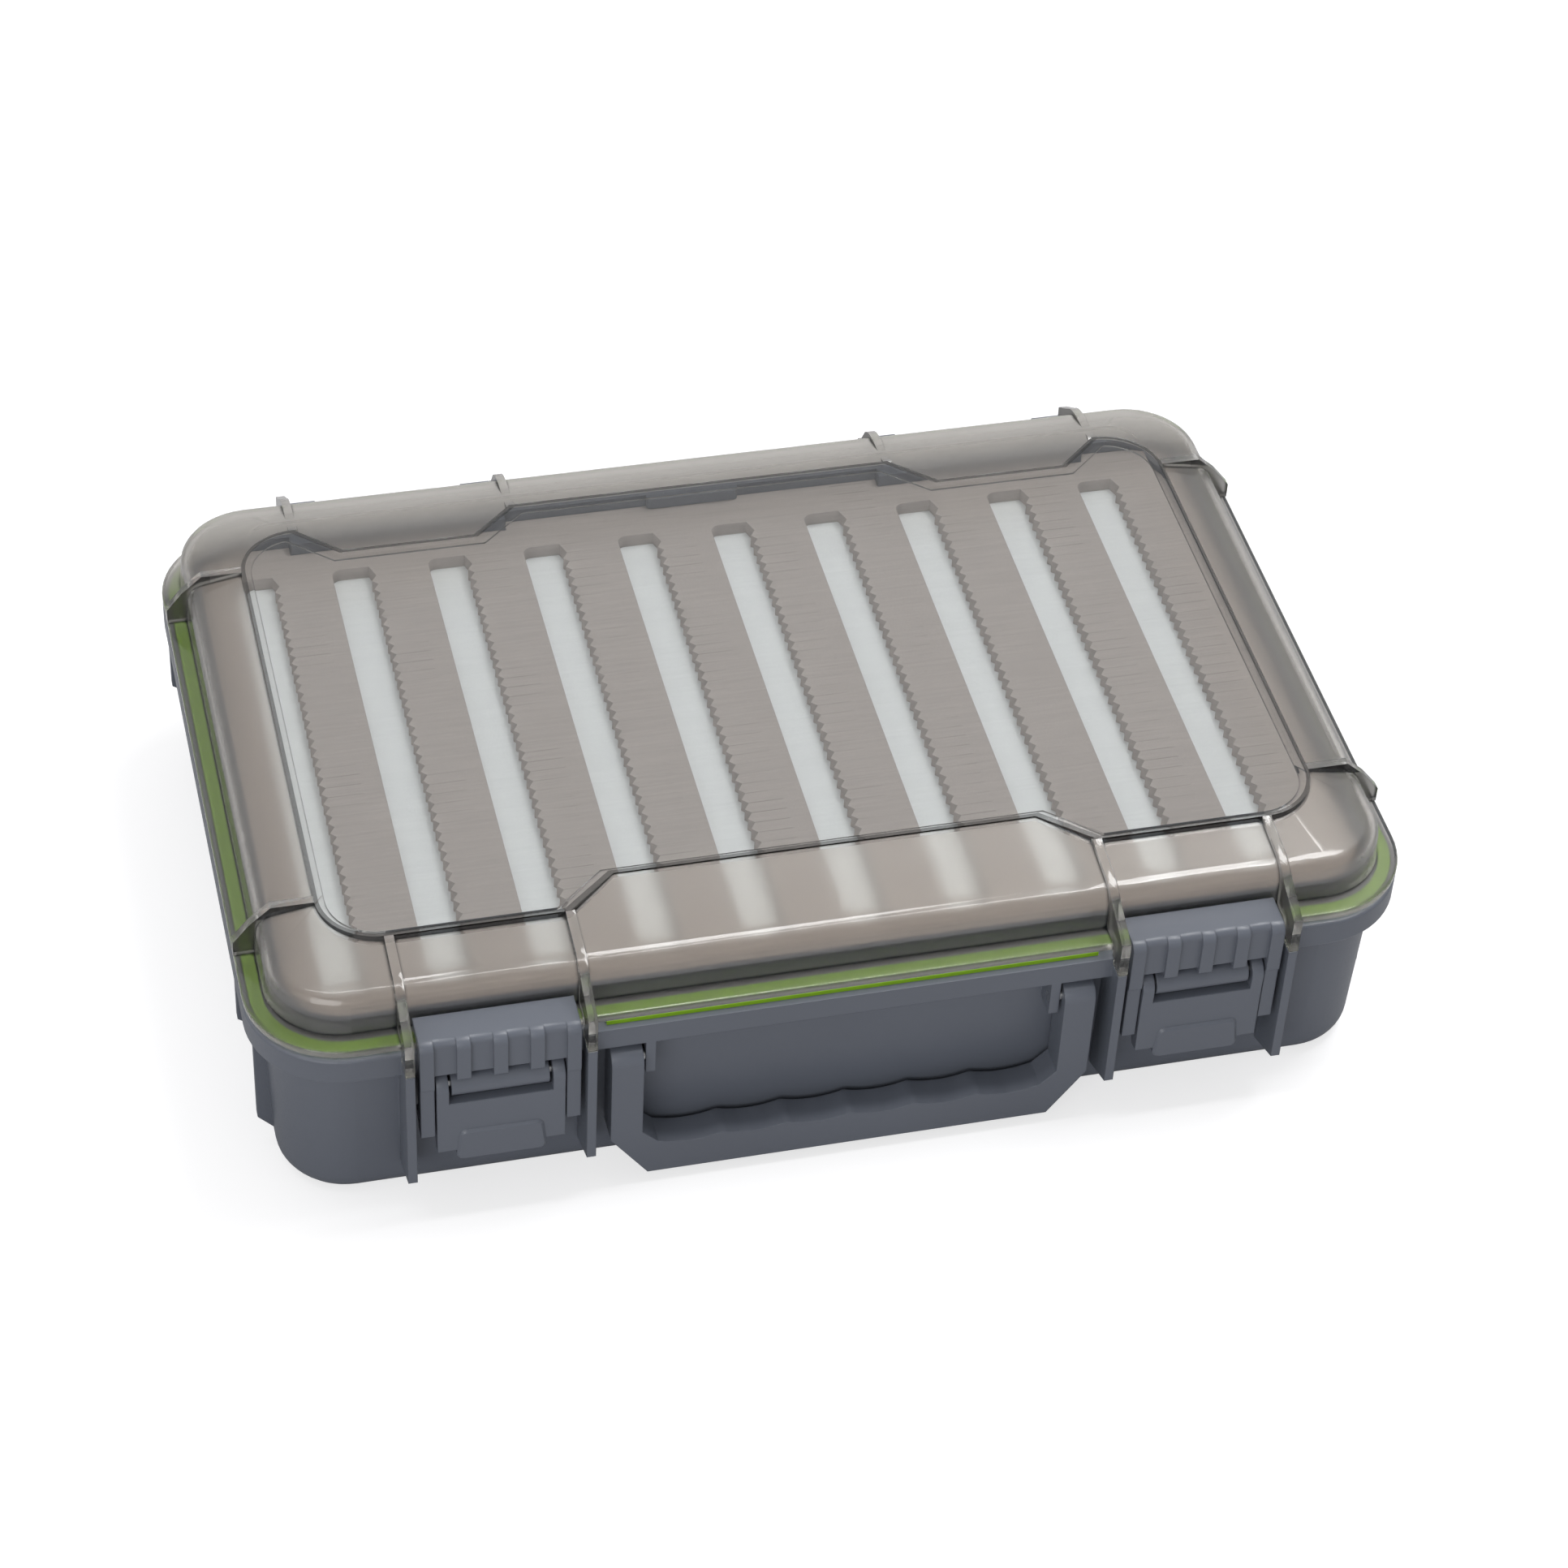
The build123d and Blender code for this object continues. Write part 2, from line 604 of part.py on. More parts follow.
def make_lever(x, name):
    """The latch's lower part: two eared cheeks, a front plate and a thumb tab."""
    half = lever_width / 2
    plate_top = barrel_z - lever_top
    plate_bottom = barrel_z - lever_length
    tab_bottom = plate_bottom - tab_drop
    with BuildPart() as lever:
        cross_box(clamp_face, clamp_face + lever_skin, plate_bottom, plate_top, x - half, x + half)
        for side in (-1, 1):
            ends = sorted((x + side * half, x + side * (half - lever_cheek)))
            cross_rod(barrel_y, barrel_z, ear_radius, *ends)
            cross_rod(link_y, link_z, link_boss, *ends)
            cheek = [
                (clamp_face, plate_bottom),
                (clamp_face, plate_top),
                (barrel_y - ear_radius, barrel_z),
                (barrel_y + ear_radius, barrel_z),
                (link_y + link_boss, link_z),
                (clamp_face + lever_skin, plate_bottom),
            ]
            upright(Plane.YZ.offset(sum(ends) / 2), cheek, lever_cheek)
        with BuildSketch(Plane.XZ.offset(-clamp_face + tab_proud)) as tab:
            Polygon((x - tab_width / 2, tab_bottom), (x + tab_width / 2, tab_bottom),
                    (x + tab_width / 2 - tab_bevel, tab_bottom + tab_height),
                    (x - tab_width / 2 + tab_bevel, tab_bottom + tab_height), align=None)
            fillet(tab.vertices(), radius=tab_corner)
        extrude(tab.sketch, amount=-(lever_skin + tab_proud))
        front = lever.faces().filter_by(Plane.XZ).sort_by(Axis.Y)[0]
        chamfer(front.edges(), length=tab_chamfer)
        for side in (-1, 1):
            ends = sorted((x + side * half, x + side * (half - lever_cheek)))
            cross_rod(barrel_y, barrel_z, latch_pin_diameter / 2, *ends, mode=Mode.SUBTRACT)
            cross_rod(link_y, link_z, latch_pin_diameter / 2 + running_gap, *ends,
                      mode=Mode.SUBTRACT)
    finish(lever, name)


def make_lever_pin(x, name):
    """Steel pin through the lever's ears and the tub's barrel."""
    with BuildPart() as lever_pin:
        cross_rod(barrel_y, barrel_z, latch_pin_diameter / 2, x - lever_width / 2,
                  x + lever_width / 2)
    finish(lever_pin, name)


def make_clamp_pins(x, name):
    """Two short steel pins that join the clamp's legs to the lever's cheeks."""
    with BuildPart() as clamp_pins:
        for side in (-1, 1):
            ends = sorted((x + side * clamp_width / 2, x + side * (lever_width / 2 - lever_cheek)))
            cross_rod(link_y, link_z, latch_pin_diameter / 2, *ends)
    finish(clamp_pins, name)


# ---------------------------------------------------------------- handle
def make_handle():
    """The swinging handle: two arms and a grip with finger scallops."""
    half = handle_width / 2
    grip_bottom = handle_z - handle_grip_drop
    grip_top = grip_bottom + handle_grip_height
    scallop = 2 * (arm_inner - handle_inner_chamfer) / finger_count
    with BuildPart() as handle:
        with BuildSketch(Plane.XZ.offset(-handle_y)) as face:
            with BuildLine():
                Polyline((-arm_inner, handle_z), (-half, handle_z),
                         (-half, grip_bottom + handle_outer_chamfer_z),
                         (-half + handle_outer_chamfer_x, grip_bottom),
                         (half - handle_outer_chamfer_x, grip_bottom),
                         (half, grip_bottom + handle_outer_chamfer_z), (half, handle_z),
                         (arm_inner, handle_z), (arm_inner, grip_top + handle_inner_chamfer),
                         (arm_inner - handle_inner_chamfer, grip_top))
                for n in range(finger_count):
                    right = arm_inner - handle_inner_chamfer - n * scallop
                    ThreePointArc((right, grip_top), (right - scallop / 2, grip_top - finger_depth),
                                  (right - scallop, grip_top))
                Polyline((-arm_inner + handle_inner_chamfer, grip_top),
                         (-arm_inner, grip_top + handle_inner_chamfer), (-arm_inner, handle_z))
            make_face()
        extrude(face.sketch, amount=handle_thickness / 2, both=True)
        for side in (-1, 1):
            ends = sorted((side * half, side * arm_inner))
            cross_rod(handle_y, handle_z, handle_thickness / 2, *ends)
        for side in (-1, 1):
            ends = sorted((side * arm_inner, side * (arm_inner + handle_pin_bite)))
            cross_rod(handle_y, handle_z, handle_pin_diameter / 2 + running_gap, *ends,
                      mode=Mode.SUBTRACT)
    finish(handle, "handle")


def make_handle_pin(side, name):
    """Steel pin pressed in a tub lug; the handle's arm turns on it."""
    ends = sorted((side * lug_span()[0], side * (arm_inner + handle_pin_bite - hinge_side_gap)))
    with BuildPart() as handle_pin:
        cross_rod(handle_y, handle_z, handle_pin_diameter / 2, *ends)
    finish(handle_pin, name)


# ---------------------------------------------------------------- foam tray
def pocket_plan(inset):
    """Plan of the tray's pocket, drawn in the sketch that is open."""
    RectangleRounded(2 * (pocket_x - inset), 2 * (pocket_y - inset), pocket_corner - inset)
    front = pocket_y - hinge_block_reach - inset
    for side in (-1, 1):
        with Locations((side * (hinge_rib_x + outer_rib_x) / 2, (front + pocket_y) / 2 + inset)):
            Rectangle(outer_rib_x - hinge_rib_x + 2 * inset, pocket_y - front + inset,
                      mode=Mode.SUBTRACT)


def make_tray():
    """Lift-out tray that carries the foam, resting on ledges in the tub."""
    with BuildPart() as tray:
        rounded_block(2 * tray_x, 2 * tray_y, tray_corner, tray_bottom, tray_top)
        with BuildSketch(Plane.XY.offset(backing_bottom)) as pocket:
            pocket_plan(0.0)
        extrude(pocket.sketch, amount=tray_top - backing_bottom, mode=Mode.SUBTRACT)
        with BuildSketch(Plane.XY.offset(foam_top + stop_foam_gap)) as stop:
            with Locations((0, pocket_y - (stop_overhang - tray_rim) / 2)):
                RectangleRounded(stop_length, stop_overhang + tray_rim, stop_corner)
        extrude(stop.sketch, amount=foam_recess - stop_foam_gap)
    finish(tray, "tray")


def make_backing_foam():
    """Plain white foam sheet under the slit foam."""
    with BuildPart() as backing_foam:
        with BuildSketch(Plane.XY.offset(backing_bottom)) as sheet:
            pocket_plan(foam_gap)
        extrude(sheet.sketch, amount=backing_thickness)
    finish(backing_foam, "backing_foam")


def make_floor_foam():
    """Foam pad on the floor of the tub."""
    inset = floor_radius + wall
    with BuildPart() as floor_foam:
        rounded_block(2 * (tub_x - inset), 2 * (tub_y - inset), tub_corner - inset,
                      floor_thickness, floor_thickness + floor_foam_thickness)
    finish(floor_foam, "floor_foam")


def make_slit_foam():
    """Foam sheet with the long slots in which the flies lie."""
    with BuildPart() as slit_foam:
        with BuildSketch(Plane.XY.offset(foam_bottom)) as sheet:
            pocket_plan(foam_gap)
            with Locations((slot_shift, 0)):
                with GridLocations(slot_pitch, 1, slot_count, 1):
                    RectangleRounded(slot_width, slot_length, slot_corner, mode=Mode.SUBTRACT)
        extrude(sheet.sketch, amount=foam_thickness)
    finish(slit_foam, "slit_foam")


make_base_tub()
make_gasket()
make_lid()
make_handle()
make_tray()
make_floor_foam()
make_backing_foam()
make_slit_foam()
for side_sign, side_name in ((-1, "left"), (1, "right")):
    make_hinge_pin(side_sign, f"hinge_pin_{side_name}")
    make_clamp(side_sign * latch_x, f"latch_clamp_{side_name}")
    make_lever(side_sign * latch_x, f"latch_lever_{side_name}")
    make_lever_pin(side_sign * latch_x, f"lever_pin_{side_name}")
    make_clamp_pins(side_sign * latch_x, f"clamp_pins_{side_name}")
    make_handle_pin(side_sign, f"handle_pin_{side_name}")
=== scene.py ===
import json
from math import cos, pi, radians, sin

import bmesh
import bpy
from mathutils import Matrix, Vector


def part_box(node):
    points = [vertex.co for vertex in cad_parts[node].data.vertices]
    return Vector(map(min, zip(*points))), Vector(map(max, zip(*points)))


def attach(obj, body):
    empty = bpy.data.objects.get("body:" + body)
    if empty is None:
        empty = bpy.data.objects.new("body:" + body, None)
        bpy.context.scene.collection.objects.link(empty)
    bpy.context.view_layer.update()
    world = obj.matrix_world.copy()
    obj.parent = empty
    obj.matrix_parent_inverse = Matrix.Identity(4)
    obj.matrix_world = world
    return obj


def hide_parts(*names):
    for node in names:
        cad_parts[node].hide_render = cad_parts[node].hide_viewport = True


# Fly box: slate moulded tub, latches and handle, a clear smoke lid, a green gasket
# and a tray of slit foam. Metres; X along the box, -Y the latch side, Z up.

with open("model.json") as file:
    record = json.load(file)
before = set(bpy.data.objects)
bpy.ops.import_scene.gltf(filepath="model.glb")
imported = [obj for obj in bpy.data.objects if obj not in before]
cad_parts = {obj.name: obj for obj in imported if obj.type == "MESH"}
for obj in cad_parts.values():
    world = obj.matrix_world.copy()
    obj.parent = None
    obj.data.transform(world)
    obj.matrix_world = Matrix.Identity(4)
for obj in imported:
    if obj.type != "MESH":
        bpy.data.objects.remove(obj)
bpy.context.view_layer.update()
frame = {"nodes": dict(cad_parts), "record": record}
MM = 0.001

# ---------------------------------------------------------------- sizes read from the frame
foam_low, foam_high = (Vector(corner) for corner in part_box("slit_foam"))
back_low, back_high = (Vector(corner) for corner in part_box("backing_foam"))
floor_low, floor_high = (Vector(corner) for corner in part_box("floor_foam"))
lid_low, lid_high = (Vector(corner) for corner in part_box("lid"))
rim_half = Vector((152.3 * MM, 102.3 * MM, 0))
rim_corner = 25.0 * MM

# Foam
slot_count = 10
slot_side_margin = 13.0 * MM
slot_width = 10.5 * MM
slot_shift = -5.45 * MM
slot_end_margin = 12.0 * MM
slot_corner = 2.5 * MM
slot_pitch = (foam_high.x - foam_low.x - slot_side_margin) / slot_count
tooth_pitch = 3.77 * MM
tooth_depth = 1.5 * MM
tooth_lean = 0.58  # share of the pitch on the longer side of a tooth
foam_corner = 14.2 * MM
hinge_block_reach = 3.4 * MM
hinge_block_near = 54.1 * MM
hinge_block_far = 115.2 * MM
slit_length = 9.5 * MM

# Lid surface
lid_wall = 2.0 * MM
window_rise = 3.6 * MM  # lowest part of the step round the window
window_half = Vector((131.4 * MM, 80.2 * MM, 0))
window_middle_y = 1.4 * MM
window_corner = 16.0 * MM
window_line = 1.1 * MM  # rounded lip along the window's outline; the width of its band of painted shade
# Notches in the window's outline: distance of their middle from the centre line, half the
# mouth, narrowing at each side, depth
handle_notch = (0.0, 69.0 * MM, 13.3 * MM, 11.2 * MM)
hinge_notch = (84.65 * MM, 30.35 * MM, 12.2 * MM, 10.8 * MM)
flange_thickness = 2.4 * MM
flange_line_pitch = 1.1 * MM
painted_shade_reach = 1.4 * MM  # width of the painted shade along the foot of a step
rib_start_y = 86 * MM  # front and rear ribs stand beyond this distance from the middle
rib_start_x = 140 * MM  # end ribs stand beyond this one
# Share of near black painted as shade on the band along the window's lip
painted_lip_shade = 0.85
# Share of near black painted as shade on the broad rib faces, standing in for the dark seen
# through them
painted_rib_shade = 0.55
polished_roughness = 0.02  # window and flange
outer_roughness = 0.1  # outside of the border
inner_roughness = 0.38  # textured inside of the border
milky_from = 76 * MM  # towards the rear the plastic turns milky from here ...
milky_to = 96 * MM  # ... to here
milkiness = 0.5  # share of the light that the milkiest plastic scatters

# Rounded edges of the mouldings
lid_edge = 0.45 * MM
handle_edge = 1.5 * MM
latch_edge = 0.5 * MM
sharp_angle = radians(40)  # edges that turn more than this are rounded


# ---------------------------------------------------------------- nodes
def linear(hex_colour):
    """An sRGB hex colour as linear RGBA."""
    parts = [int(hex_colour[n:n + 2], 16) / 255 for n in (1, 3, 5)]
    light = [c / 12.92 if c <= 0.04045 else ((c + 0.055) / 1.055) ** 2.4 for c in parts]
    return (*light, 1.0)


def add_node(tree, kind, settings=None, inputs=None):
    """One shader node: its own properties, then socket values or the sockets that feed them."""
    node = tree.nodes.new("ShaderNode" + kind)
    for name, value in (settings or {}).items():
        setattr(node, name, value)
    for name, value in (inputs or {}).items():
        socket = node.inputs[name]
        if isinstance(value, bpy.types.NodeSocket):
            tree.links.new(value, socket)
        else:
            socket.default_value = value
    return node


def new_material(name):
    """An empty node material with its output."""
    material = bpy.data.materials.new(name)
    material.use_nodes = True
    material.node_tree.nodes.clear()
    return material, material.node_tree, material.node_tree.nodes.new("ShaderNodeOutputMaterial")


def moulded_abs():
    """ABS, injection moulded with a spark-eroded finish: satin, with a fine even grain and
    edges slightly rounded by the mould."""
    material, tree, output = new_material("slate_abs")
    place = add_node(tree, "TexCoord").outputs["Object"]
    # Real grain is about 0.1 mm; it is drawn at 0.5 mm so that it shows.
    grain = add_node(tree, "TexNoise", inputs={"Vector": place, "Scale": 1 / (0.5 * MM),
                                               "Detail": 3.0})
    # Flow marks: slow changes of shade over about 60 mm.
    flow = add_node(tree, "TexNoise", inputs={"Vector": place, "Scale": 1 / (60 * MM),
                                              "Detail": 2.0})
    colour = add_node(tree, "Mix", {"data_type": "RGBA"},
                      {"Factor": flow.outputs["Fac"], "A": linear("#5B5F68"),
                       "B": linear("#646973")})
    gloss = add_node(tree, "MapRange", inputs={"Value": grain.outputs["Fac"], "To Min": 0.28,
                                               "To Max": 0.46})
    edge = add_node(tree, "Bevel", {"samples": 6}, {"Radius": 0.45 * MM})
    relief = add_node(tree, "Bump", inputs={"Height": grain.outputs["Fac"], "Strength": 0.12,
                                            "Distance": 0.05 * MM,
                                            "Normal": edge.outputs["Normal"]})
    surface = add_node(tree, "BsdfPrincipled", inputs={
        "Base Color": colour.outputs["Result"], "Roughness": gloss.outputs["Result"],
        "Normal": relief.outputs["Normal"], "IOR": 1.5})
    tree.links.new(surface.outputs["BSDF"], output.inputs["Surface"])
    return material


def math_node(tree, operation, *values):
    """The result of one math node."""
    node = add_node(tree, "Math", {"operation": operation}, dict(enumerate(values)))
    return node.outputs["Value"]


def reach_in_plan(tree, place, half, corner, middle_y=0.0):
    """Distance beyond the core of a rounded rectangle; it equals the corner on its outline."""
    centred = add_node(tree, "VectorMath", {"operation": "SUBTRACT"},
                       {0: place, 1: (0, middle_y, 0)})
    folded = add_node(tree, "VectorMath", {"operation": "ABSOLUTE"},
                      {0: centred.outputs["Vector"]})
    beyond = add_node(tree, "VectorMath", {"operation": "SUBTRACT"},
                      {0: folded.outputs["Vector"], 1: (half.x - corner, half.y - corner, 1.0)})
    outward = add_node(tree, "VectorMath", {"operation": "MAXIMUM"},
                       {0: beyond.outputs["Vector"], 1: (0, 0, 0)})
    return add_node(tree, "VectorMath", {"operation": "LENGTH"},
                    {0: outward.outputs["Vector"]}).outputs["Value"]


def rim_lines(tree, place):
    """Fine lines that run parallel to the rim, from -1 to 1."""
    reach = reach_in_plan(tree, place, rim_half, rim_corner)
    return math_node(tree, "SINE", math_node(tree, "MULTIPLY", reach, 2 * pi / flange_line_pitch))


def window_area(tree, place, inset):
    """1 over the raised window, with its notches at the handle and at the two hinges."""
    spot = add_node(tree, "SeparateXYZ", inputs={"Vector": place})
    across, y = math_node(tree, "ABSOLUTE", spot.outputs["X"]), spot.outputs["Y"]
    reach = reach_in_plan(tree, place, window_half, window_corner, window_middle_y)
    inside = math_node(tree, "LESS_THAN", reach, window_corner - inset)
    for way, (middle, mouth, slope, depth) in ((1, handle_notch), (-1, hinge_notch)):
        start = window_middle_y - way * (window_half.y - inset)
        share = math_node(tree, "MULTIPLY", math_node(tree, "SUBTRACT", y, start), way / depth)
        deep = math_node(tree, "LESS_THAN", share, 1.0)
        from_middle = math_node(tree, "ABSOLUTE", math_node(tree, "SUBTRACT", across, middle))
        spread = math_node(tree, "MULTIPLY_ADD", share, slope, from_middle)
        wide = math_node(tree, "LESS_THAN", spread, mouth + inset)
        notch = math_node(tree, "MULTIPLY", deep, wide)
        inside = math_node(tree, "MULTIPLY", inside, math_node(tree, "SUBTRACT", 1.0, notch))
    return inside


def step_faces(tree, place, facing):
    """1 on the upright faces of the step round the window, where they look outward."""
    split = add_node(tree, "SeparateXYZ", inputs={"Vector": facing})
    upright = math_node(tree, "LESS_THAN", math_node(tree, "ABSOLUTE", split.outputs["Z"]), 0.3)
    height = add_node(tree, "SeparateXYZ", inputs={"Vector": place}).outputs["Z"]
    high = math_node(tree, "GREATER_THAN", height, lid_high.z - window_rise)
    # The lengthwise share is cut down so that the notches' slanting ends count as outward.
    from_middle = add_node(tree, "VectorMath", {"operation": "MULTIPLY"},
                           {0: place, 1: (0.3, 1.0, 0.0)}).outputs["Vector"]
    away = add_node(tree, "VectorMath", {"operation": "DOT_PRODUCT"},
                    {0: facing, 1: from_middle}).outputs["Value"]
    outward = math_node(tree, "GREATER_THAN", away, 0.0)
    return math_node(tree, "MULTIPLY", math_node(tree, "MULTIPLY", upright, high), outward)


def rib_faces(tree, place, facing):
    """1 on the broad faces of the ribs, at the front, the rear and both ends."""
    spot = add_node(tree, "SeparateXYZ", inputs={"Vector": place})
    turned = add_node(tree, "SeparateXYZ", inputs={"Vector": facing})
    groups = []
    for across, along, reach in (("X", "Y", rib_start_y), ("Y", "X", rib_start_x)):
        square_on = math_node(tree, "ABSOLUTE", turned.outputs[across])
        broad = math_node(tree, "GREATER_THAN", square_on, 0.95)
        far = math_node(tree, "ABSOLUTE", spot.outputs[along])
        outside = math_node(tree, "GREATER_THAN", far, reach)
        groups.append(math_node(tree, "MULTIPLY", broad, outside))
    return math_node(tree, "MAXIMUM", *groups)


def smoked_clear_plastic():
    """SAN plastic, injection moulded with a grey smoke tint: polished window, a border textured on
    its inside, and a polished flange with turned lines.
    Painted shade darkens its stepped edges, the window's lip, the rib faces and the creases at
    their feet."""
    material, tree, output = new_material("smoked_clear_plastic")
    source = add_node(tree, "TexCoord")
    place = source.outputs["Object"]
    # Inside the plastic the normal is turned round; this turns it back.
    inside = add_node(tree, "NewGeometry").outputs["Backfacing"]
    outward = add_node(tree, "MapRange", inputs={"Value": inside, "To Min": 1.0, "To Max": -1.0})
    facing = add_node(tree, "VectorMath", {"operation": "SCALE"},
                      {0: source.outputs["Normal"], "Scale": outward.outputs["Result"]}
                      ).outputs["Vector"]
    spot = add_node(tree, "SeparateXYZ", inputs={"Vector": place})
    height, rearward = spot.outputs["Z"], spot.outputs["Y"]
    up = add_node(tree, "SeparateXYZ", inputs={"Vector": facing}).outputs["Z"]
    top_face = math_node(tree, "MULTIPLY", math_node(tree, "GREATER_THAN", up, 0.5),
                         math_node(tree, "GREATER_THAN", height, lid_high.z - 0.2 * MM))
    window = window_area(tree, place, 0.0)
    below = math_node(tree, "MULTIPLY", math_node(tree, "LESS_THAN", up, 0.5),
                      math_node(tree, "GREATER_THAN", height, lid_high.z - lid_wall - window_rise))
    under_face = math_node(tree, "MULTIPLY", window, below)
    # The band along the window's lip, which gets painted shade.
    shaded_lip_band = math_node(tree, "MULTIPLY", top_face,
                    math_node(tree, "SUBTRACT", window, window_area(tree, place, window_line)))
    on_flange = math_node(tree, "LESS_THAN", height, lid_low.z + flange_thickness * 1.02)
    # The outward faces of the step round the window get a painted dark reflection: their tint is
    # mixed towards near black.
    edge = step_faces(tree, place, facing)
    polished = math_node(tree, "MAXIMUM", on_flange,
                         math_node(tree, "MAXIMUM", top_face, under_face))
    # The border is textured on the inside of the lid and smoother on the outside.
    from_heart = add_node(tree, "VectorMath", {"operation": "SUBTRACT"},
                          {0: place, 1: (0, 0, lid_low.z / 2)}).outputs["Vector"]
    out_way = add_node(tree, "VectorMath", {"operation": "DOT_PRODUCT"},
                       {0: facing, 1: from_heart}).outputs["Value"]
    inner = math_node(tree, "LESS_THAN", out_way, 0.0)
    skin = add_node(tree, "MapRange", inputs={"Value": inner, "To Min": outer_roughness,
                                              "To Max": inner_roughness})
    # The rear wall and shoulder are textured on both sides and look milky.
    milky = add_node(tree, "MapRange", inputs={"Value": rearward, "From Min": milky_from,
                                               "From Max": milky_to, "To Max": milkiness})
    milk = math_node(tree, "MULTIPLY", milky.outputs["Result"],
                     math_node(tree, "SUBTRACT", 1.0, polished))
    roughness = add_node(tree, "Mix", {"data_type": "FLOAT"},
                         {"Factor": polished, "A": skin.outputs["Result"],
                          "B": polished_roughness})
    # Real frosting is about 0.05 mm; it is drawn at 0.4 mm so that it shows.
    frost = add_node(tree, "TexNoise", inputs={"Vector": place, "Scale": 1 / (0.4 * MM),
                                               "Detail": 2.0})
    frosting = math_node(tree, "MULTIPLY", frost.outputs["Fac"],
                         math_node(tree, "SUBTRACT", 1.0, polished))
    lines = math_node(tree, "MULTIPLY", rim_lines(tree, place), on_flange)
    relief_lines = add_node(tree, "Bump", inputs={"Height": lines, "Strength": 0.6,
                                                  "Distance": 0.1 * MM})
    relief = add_node(tree, "Bump", inputs={"Height": frosting, "Strength": 0.25,
                                            "Distance": 0.03 * MM,
                                            "Normal": relief_lines.outputs["Normal"]})
    border = add_node(tree, "Mix", {"data_type": "RGBA"},
                      {"Factor": polished, "A": linear("#C1BEBA"), "B": linear("#C9CACA")})
    body = add_node(tree, "Mix", {"data_type": "RGBA"},
                    {"Factor": on_flange, "A": border.outputs["Result"], "B": linear("#A9A99B")})
    # Painted shade: the tint turns near black along the foot of every step and rib, where ambient
    # occlusion finds a crease.
    crease_occlusion_for_painted_shade = add_node(tree, "AmbientOcclusion", {"only_local": True, "samples": 8},
                        {"Distance": painted_shade_reach})
    corner = add_node(tree, "MapRange", inputs={"Value": crease_occlusion_for_painted_shade.outputs["AO"], "From Min": 0.55,
                                                "From Max": 0.85, "To Min": 1.0, "To Max": 0.0})
    # Painted shade on the window's lip and on the broad rib faces.
    painted_lip_and_rib_shade = math_node(tree, "MAXIMUM", math_node(tree, "MULTIPLY", shaded_lip_band, painted_lip_shade),
                              math_node(tree, "MULTIPLY", rib_faces(tree, place, facing),
                                        painted_rib_shade))
    # All painted shade together: step faces, creases, the window's lip and the ribs, mixed towards
    # near black #141517.
    dark = math_node(tree, "MAXIMUM", math_node(tree, "MAXIMUM", edge, corner.outputs["Result"]),
                     painted_lip_and_rib_shade)
    tint = add_node(tree, "Mix", {"data_type": "RGBA"},
                    {"Factor": dark, "A": body.outputs["Result"], "B": linear("#141517")})
    surface = add_node(tree, "BsdfPrincipled", inputs={
        "Base Color": tint.outputs["Result"], "Roughness": roughness.outputs["Result"],
        "Transmission Weight": math_node(tree, "SUBTRACT", 1.0, milk), "IOR": 1.5,
        "Normal": relief.outputs["Normal"]})
    # Lamps reach what lies under the lid through the tinted plastic.
    passing = add_node(tree, "BsdfTransparent", inputs={"Color": linear("#E2E2E1")})
    path = add_node(tree, "LightPath")
    mixed = add_node(tree, "MixShader", inputs={"Fac": path.outputs["Is Shadow Ray"],
                                                1: surface.outputs["BSDF"],
                                                2: passing.outputs["BSDF"]})
    tree.links.new(mixed.outputs["Shader"], output.inputs["Surface"])
    return material


def silicone():
    """Silicone rubber, moulded: matt, slightly dusty, lime green."""
    material, tree, output = new_material("green_silicone")
    place = add_node(tree, "TexCoord").outputs["Object"]
    dust = add_node(tree, "TexNoise", inputs={"Vector": place, "Scale": 1 / (4 * MM),
                                              "Detail": 4.0})
    colour = add_node(tree, "Mix", {"data_type": "RGBA"},
                      {"Factor": dust.outputs["Fac"], "A": linear("#739F14"),
                       "B": linear("#82AE20")})
    gloss = add_node(tree, "MapRange", inputs={"Value": dust.outputs["Fac"], "To Min": 0.35,
                                               "To Max": 0.5})
    surface = add_node(tree, "BsdfPrincipled", inputs={
        "Base Color": colour.outputs["Result"], "Roughness": gloss.outputs["Result"],
        "IOR": 1.41})
    tree.links.new(surface.outputs["BSDF"], output.inputs["Surface"])
    return material


